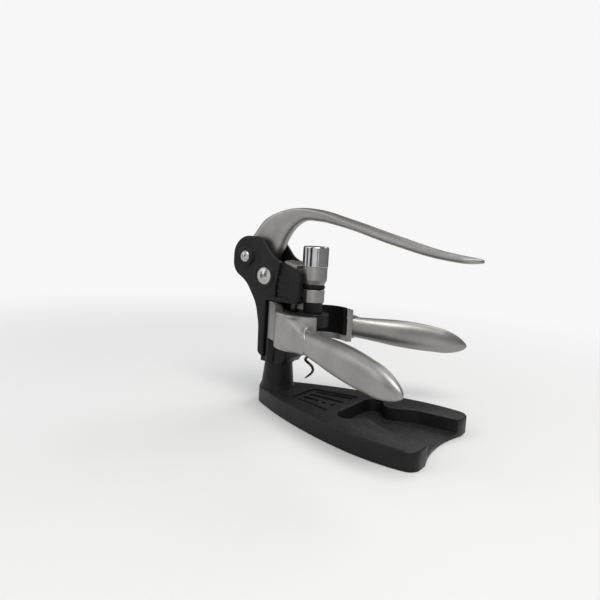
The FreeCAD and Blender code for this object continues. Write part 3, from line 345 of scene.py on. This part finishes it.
def clamp_loft(stations, power, along, taper):
    """Points round the closed left clamp's handle or boss.

    Each section is a superellipse |y/a|^power + |z/b|^power = 1, whose a and b follow the stations
    and are multiplied by the taper; along holds the distance of every point from the hinge.
    """
    around = np.linspace(0, 2 * math.pi, CLAMP_LINES, endpoint=False)
    z, high, wide, bow = np.moveaxis(smooth_columns(stations, along), -1, 0)
    side_way = bow + rounded(np.cos(around), power) * wide / 2 * taper
    x = HINGE[0] + along * math.cos(HANDLE_TOE) - side_way * math.sin(HANDLE_TOE)
    y = HINGE[1] + along * math.sin(HANDLE_TOE) + side_way * math.cos(HANDLE_TOE)
    return np.stack([x, y, z + rounded(np.sin(around), power) * high / 2 * taper], axis=-1)


def turned_clamp(points, side):
    """Points of the closed left clamp, mirrored for the right one, turned to the parked opening."""
    sign = 1 if side == "left" else -1
    turn = math.radians(PARKED[side]) * sign
    x, y = points[..., 0] - HINGE[0], (points[..., 1] - HINGE[1]) * sign
    return np.stack([HINGE[0] + x * math.cos(turn) - y * math.sin(turn),
                     HINGE[1] * sign + x * math.sin(turn) + y * math.cos(turn),
                     points[..., 2]], axis=-1)


def finish_loft(name, points, side):
    """The mesh of a clamp's loft; the mirrored side's rings run the other way, to face outwards."""
    points = turned_clamp(points, side)
    if side == "right":
        points = points[:, ::-1]
    return grid_mesh(name, points, points[0].mean(axis=0), points[-1].mean(axis=0))


def leaf_handle(side):
    """A leaf-shaped handle: superellipse sections of power 2.2 on the handle's stations.

    Over the last 22 mm both half axes are multiplied by (1 - q^1.8)^0.62, where q runs from 0 to 1.
    Every line along it starts 2 mm inside the boss.
    """
    share = (1 - np.cos(np.linspace(0, math.pi, 130)))[:, None] / 2
    root = seam_line() - HANDLE_SUNK
    along = root + share * (HANDLE_LAST - root)
    q = np.clip((along - TAPER_START) / (HANDLE_REACH - TAPER_START), 0, 1)
    points = clamp_loft(HANDLE_STATIONS, HANDLE_POWER, along, (1 - q ** 1.8) ** 0.62)
    return finish_loft("handle_" + side, points, side)


def handle_boss(side):
    """The shoulder between jaw and handle: superellipse sections of power 3 on its stations.

    Its last 1.6 mm are rounded over with 1 - 0.16 (1 - sqrt(1 - q^2)), and its inner side is
    pushed out to the radius BOSS_INSIDE, so that it stays within the jaw's wall.
    """
    rows = np.concatenate([np.linspace(0, 1, 70), np.ones(9)])[:, None]
    q = np.concatenate([np.zeros(70), np.sin(np.linspace(0.1, math.pi / 2, 9))])[:, None]
    along = BOSS_START + rows * (seam_line() - BOSS_ROUND - BOSS_START) + BOSS_ROUND * q
    taper = 1 - BOSS_CLOSING * (1 - np.sqrt(np.clip(1 - q ** 2, 0, 1)))
    points = clamp_loft(BOSS_STATIONS, BOSS_POWER, along, taper)
    push = np.maximum(1, BOSS_INSIDE / np.hypot(points[..., 0], points[..., 1]))
    points[..., :2] *= push[..., None]
    return finish_loft("handle_boss_" + side, points, side)


def lever_blade():
    """The lever's arched blade.

    Across, the top is a low dome v = h (1 - |u/a|^2.4), and below the crease it is half a
    superellipse |u/a|^2.8 + |v/b|^2.8 = 1. Thickness, width and the dome's share h follow the
    stations. The last 12 mm are rounded in plan by p = sqrt(1 - q^2.2), and their thickness is
    multiplied by 0.35 + 0.65 p.
    """
    steps = np.hypot(np.diff(LEVER_STATIONS[:, 0]), np.diff(LEVER_STATIONS[:, 1]))
    reach = np.concatenate([[0], np.cumsum(steps)])
    nose = reach[-1] - LEVER_NOSE
    to_tip = np.sin(np.linspace(0.05, math.pi / 2 - 0.03, 26))
    where = np.concatenate([np.linspace(0, nose, 150), nose + LEVER_NOSE * to_tip])
    rows = smooth_columns(np.column_stack([reach, LEVER_STATIONS]), where)
    x, z, turn, thick, wide, share = rows.T[:, :, None]
    plan = np.sqrt(1 - np.clip((where[:, None] - nose) / LEVER_NOSE, 0, 1) ** 2.2)
    thick = thick * (0.35 + 0.65 * plan)
    top = np.linspace(0, math.pi, 34, endpoint=False)
    below = np.linspace(math.pi, 2 * math.pi, 46, endpoint=False)
    across = np.concatenate([np.cos(top), rounded(np.cos(below), LEVER_POWER)]) * wide / 2 * plan
    dome = share * thick * (1 - np.abs(np.cos(top)) ** DOME_POWER)
    under = (1 - share) * thick * rounded(np.sin(below), LEVER_POWER)
    height = np.concatenate([dome, under], axis=1) + thick / 2 - share * thick
    turn = np.radians(turn)
    points = np.stack([x - np.sin(turn) * height, across, z + np.cos(turn) * height], axis=-1)
    return grid_mesh("lever_blade", points, points[0].mean(axis=0), points[-1].mean(axis=0))


def merged_copy(node):
    """A working copy of a CAD node's mesh, with its loose triangles joined."""
    work = bmesh.new()
    work.from_mesh(frame["nodes"][node].data)
    bmesh.ops.remove_doubles(work, verts=work.verts, dist=MERGE * MM)
    return work


def finished_copy(name, work):
    """The mesh of a working copy, which is freed."""
    mesh = bpy.data.meshes.new(name)
    work.to_mesh(mesh)
    work.free()
    return mesh


def lever_root():
    """The lever's fork from its CAD node, cut square to the arm inside the plates' round heads."""
    work = merged_copy("lever_arm")
    cut = bmesh.ops.bisect_plane(work, geom=work.verts[:] + work.edges[:] + work.faces[:],
                                 plane_co=Vector(LEVER_CUT) * MM, plane_no=LEVER_CUT_FACES,
                                 clear_outer=True)
    rim = [e for e in cut["geom_cut"] if isinstance(e, bmesh.types.BMEdge)]
    bmesh.ops.holes_fill(work, edges=rim, sides=0)
    bmesh.ops.recalc_face_normals(work, faces=work.faces)
    return finished_copy("lever_root", work)


def worm_wire():
    """The worm: a right-hand helix with centre (r cos f, r sin f, z0 + pitch f / 360).

    Its round wire grows from a point to full over the first 9 mm, as w (1 - (1 - t)^2)^0.5.
    """
    turns = (WORM_TOP - WORM_TIP_HEIGHT) / WORM_PITCH
    turn = np.radians(WORM_TIP_TURN + np.linspace(0, turns * 360, 340))
    rise = WORM_PITCH / (2 * math.pi)
    climb = (turn - turn[0]) * rise
    out = np.stack([np.cos(turn), np.sin(turn), 0 * turn], axis=-1)
    centre = WORM_RADIUS * out
    centre[:, 2] = WORM_TIP_HEIGHT + climb
    ahead = np.stack([-WORM_RADIUS * np.sin(turn), WORM_RADIUS * np.cos(turn), rise + 0 * turn],
                     axis=-1)
    ahead /= np.linalg.norm(ahead, axis=-1, keepdims=True)
    third = np.cross(ahead, out)
    t = np.clip(climb / WORM_POINT, 0, 1)
    wire = WORM_WIRE * np.clip(np.sqrt(1 - (1 - t) ** 2), 0.12, 1)[:, None, None]
    a = np.linspace(0, 2 * math.pi, 20, endpoint=False)[None, :, None]
    points = centre[:, None] + wire * (np.cos(a) * out[:, None] + np.sin(a) * third[:, None])
    return grid_mesh("worm_wire", points, centre[0] - ahead[0] * WORM_POINT_END, centre[-1])


def turned(name, profile):
    """A turned solid: the profile's (radius, height) rows carried round the worm's axis.

    A long run gets a row close to each of its ends, so that it is shaded flat.
    """
    a = np.linspace(0, 2 * math.pi, 96, endpoint=False)
    rows = [np.array(profile[0], float)]
    for row in np.array(profile[1:], float):
        span = np.linalg.norm(row - rows[-1])
        if span > LONG_RUN:
            step = (row - rows[-1]) * SUPPORT_ROW / span
            rows += [rows[-1] + step, row - step]
        rows.append(row)
    r, z = np.array(rows).T[:, :, None]
    points = np.stack([r * np.cos(a), r * np.sin(a), z + 0 * a], axis=-1)
    return grid_mesh(name, points, (0, 0, z[0, 0]), (0, 0, z[-1, 0]))


def rounded_end(radius, height, fillet, steps=8):
    """Rows from a turned solid's side to its flat end, over a quarter round of this fillet."""
    q = np.linspace(0, math.pi / 2, steps)
    return [(radius - fillet + fillet * math.cos(v), height - fillet + fillet * math.sin(v))
            for v in q]


def worm_head():
    """The round head that the worm hangs from."""
    radius, foot, edge = WORM_HEAD["radius"], WORM_HEAD["foot"], WORM_HEAD["edge"]
    return turned("worm_head", [(radius - edge, foot), (radius, foot + edge)]
                  + rounded_end(radius, WORM_HEAD["top"], edge))


def cap_turned():
    """The bright cap, as big as its CAD node, with a rounded rim.

    At k times its radius, the crown lies 0.35 k^2 mm below the top.
    """
    low, high = [np.array(corner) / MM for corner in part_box("post_cap")]
    radius = (high[0] - low[0]) / 2
    crown = [(radius * k, high[2] - CAP_CROWN * k ** 2) for k in (0.78, 0.6, 0.4, 0.2, 0.02)]
    return turned("post_cap_turned",
                  [(radius - CAP_FOOT_EDGE, low[2]), (radius, low[2] + CAP_FOOT_EDGE)]
                  + rounded_end(radius, high[2] - CAP_SHOULDER, CAP_ROUND, 12) + crown)


def softened(node, width, body, slot, steps=2):
    """A copy of a CAD node whose sharp edges are rounded by a bevel of the given width in mm."""
    work = merged_copy(node)
    bmesh.ops.dissolve_limit(work, angle_limit=COPLANAR, verts=work.verts, edges=work.edges)
    mesh = finished_copy(node + "_soft", work)
    piece = add_piece(node + "_soft", mesh, body, slot, node)
    bevel = piece.modifiers.new("edges", "BEVEL")
    bevel.width = width * MM
    bevel.segments = steps
    bevel.limit_method = "ANGLE"
    bevel.angle_limit = SHARP
    bevel.use_clamp_overlap = True
    bevel.harden_normals = True
    mesh.shade_smooth()


for clamp_side in ("left", "right"):
    clamp = "clamp_" + clamp_side
    add_piece("handle_" + clamp_side, leaf_handle(clamp_side), clamp, "satin_zinc",
              "handle_grip_" + clamp_side)
    add_piece("handle_boss_" + clamp_side, handle_boss(clamp_side), clamp, "satin_zinc")
    softened("clamp_jaw_" + clamp_side, 0.8, clamp, "satin_zinc", 3)
    softened("side_plate_" + clamp_side, 0.45, "frame", "frame_black")
softened("carriage_housing", 0.7, "frame", "frame_black", 3)
softened("frame_column", 0.4, "frame", "frame_black")
softened("stand_tray", 0.45, "stand", "stand_plastic", 3)
add_piece("lever_blade", lever_blade(), "lever", "satin_zinc", "lever_arm")
add_piece("lever_root", lever_root(), "lever", "satin_zinc", "lever_arm")
add_piece("worm_wire", worm_wire(), "worm", "dark_steel", "worm")
add_piece("worm_head", worm_head(), "worm", "dark_steel", "worm")
add_piece("post_cap_turned", cap_turned(), "carriage", "bright_chrome", "post_cap")


# Stage: pale floor that fades into a pale backdrop, soft light from above and from the sides.
# Lengths are in metres

BACKDROP = (0.93, 0.93, 0.93, 1.0)
FLOOR_COLOUR, FLOOR_ROUGHNESS = (0.76, 0.76, 0.755, 1.0), 0.9
FLOOR_NEAR, FLOOR_FAR, FLOOR_REACH, FLOOR_HEIGHT = 0.12, 0.75, 6.0, -0.0002
WORLD_COLOUR, WORLD_STRENGTH = (0.80, 0.81, 0.82, 1.0), 0.70
# Lamps: name, place, target, diameter, power, colour
LAMPS = (
    ("light_key", (0.35, -0.25, 0.80), (0.03, 0.0, 0.05), 0.55, 4.0, (1.0, 0.98, 0.95)),
    ("light_fill", (-0.50, -0.55, 0.45), (0.0, 0.0, 0.08), 0.60, 1.2, (0.95, 0.97, 1.0)),
    ("light_back", (0.10, 0.75, 0.60), (0.02, 0.0, 0.08), 0.50, 2.0, (1.0, 1.0, 1.0)),
)
CARD_DISTANCE, CARD_HEIGHT = 0.75, 1.1
# Cards that bright metal reflects: azimuth in degrees, width, shade
CARDS = ((-98, 0.30, 0.015), (-137, 0.22, 0.02), (-41, 0.09, 0.03), (-12, 0.50, 0.30),
         (25, 0.52, 0.30), (61, 0.52, 0.26), (98, 0.54, 0.10), (135, 0.54, 0.05), (168, 0.30, 0.20))


def floor_material():
    """Pale floor that keeps the object's shadow, and further out the backdrop's own colour."""
    material = bpy.data.materials.new("floor_pale")
    material.use_nodes = True
    tree = material.node_tree
    surface = tree.nodes["Principled BSDF"]
    surface.inputs["Base Color"].default_value = FLOOR_COLOUR
    surface.inputs["Roughness"].default_value = FLOOR_ROUGHNESS
    glow = tree.nodes.new("ShaderNodeEmission")
    glow.inputs["Color"].default_value = BACKDROP
    coords = tree.nodes.new("ShaderNodeTexCoord")
    length = tree.nodes.new("ShaderNodeVectorMath")
    length.operation = "LENGTH"
    tree.links.new(coords.outputs["Object"], length.inputs[0])
    fade = tree.nodes.new("ShaderNodeMapRange")
    fade.interpolation_type = "SMOOTHSTEP"
    fade.inputs["From Min"].default_value = FLOOR_NEAR
    fade.inputs["From Max"].default_value = FLOOR_FAR
    tree.links.new(length.outputs["Value"], fade.inputs["Value"])
    mix = tree.nodes.new("ShaderNodeMixShader")
    tree.links.new(fade.outputs["Result"], mix.inputs["Fac"])
    tree.links.new(surface.outputs["BSDF"], mix.inputs[1])
    tree.links.new(glow.outputs["Emission"], mix.inputs[2])
    tree.links.new(mix.outputs["Shader"], tree.nodes["Material Output"].inputs["Surface"])
    return material


def make_world():
    """Backdrop colour for the camera, gloss and glass, and a dimmer even light for the rest."""
    world = bpy.data.worlds.new("world")
    world.use_nodes = True
    tree = world.node_tree
    light = tree.nodes["Background"]
    light.inputs["Color"].default_value = WORLD_COLOUR
    light.inputs["Strength"].default_value = WORLD_STRENGTH
    seen = tree.nodes.new("ShaderNodeBackground")
    seen.inputs["Color"].default_value = BACKDROP
    path = tree.nodes.new("ShaderNodeLightPath")
    rays = path.outputs["Is Camera Ray"]
    for kind in ("Is Glossy Ray", "Is Transmission Ray"):
        either = tree.nodes.new("ShaderNodeMath")
        either.operation = "ADD"
        either.use_clamp = True
        tree.links.new(rays, either.inputs[0])
        tree.links.new(path.outputs[kind], either.inputs[1])
        rays = either.outputs[0]
    mix = tree.nodes.new("ShaderNodeMixShader")
    tree.links.new(rays, mix.inputs["Fac"])
    tree.links.new(light.outputs["Background"], mix.inputs[1])
    tree.links.new(seen.outputs["Background"], mix.inputs[2])
    tree.links.new(mix.outputs["Shader"], tree.nodes["World Output"].inputs["Surface"])
    scene.world = world


def reflected_card(name, azimuth, width, shade):
    """An upright card that only reflections see, so that bright metal has something to show."""
    turn = math.radians(azimuth)
    foot = np.array((math.cos(turn), math.sin(turn), 0.0)) * CARD_DISTANCE
    half = np.array((-math.sin(turn), math.cos(turn), 0.0)) * width / 2
    up = np.array((0.0, 0.0, CARD_HEIGHT))
    corners = [foot - half, foot + half, foot + half + up, foot - half + up]
    mesh = bpy.data.meshes.new(name)
    mesh.from_pydata([tuple(p) for p in corners], [], [(0, 1, 2, 3)])
    material = bpy.data.materials.new(name)
    material.use_nodes = True
    surface = material.node_tree.nodes["Principled BSDF"]
    surface.inputs["Base Color"].default_value = (shade, shade, shade, 1.0)
    surface.inputs["Roughness"].default_value = 1.0
    mesh.materials.append(material)
    card = bpy.data.objects.new(name, mesh)
    card.visible_camera = False
    card.visible_diffuse = False
    card.visible_shadow = False
    scene.collection.objects.link(card)


def make_stage():
    """Floor, world, lamps and cards."""
    floor_mesh = bpy.data.meshes.new("floor")
    reach, height = FLOOR_REACH, FLOOR_HEIGHT
    corners = [(-reach, -reach, height), (reach, -reach, height),
               (reach, reach, height), (-reach, reach, height)]
    floor_mesh.from_pydata(corners, [], [(0, 1, 2, 3)])
    floor = bpy.data.objects.new("floor", floor_mesh)
    floor_mesh.materials.append(floor_material())
    scene.collection.objects.link(floor)
    make_world()
    for lamp in LAMPS:
        area_light(*lamp)
    for number, card in enumerate(CARDS):
        reflected_card("card_%d" % number, *card)


make_camera()
make_stage()
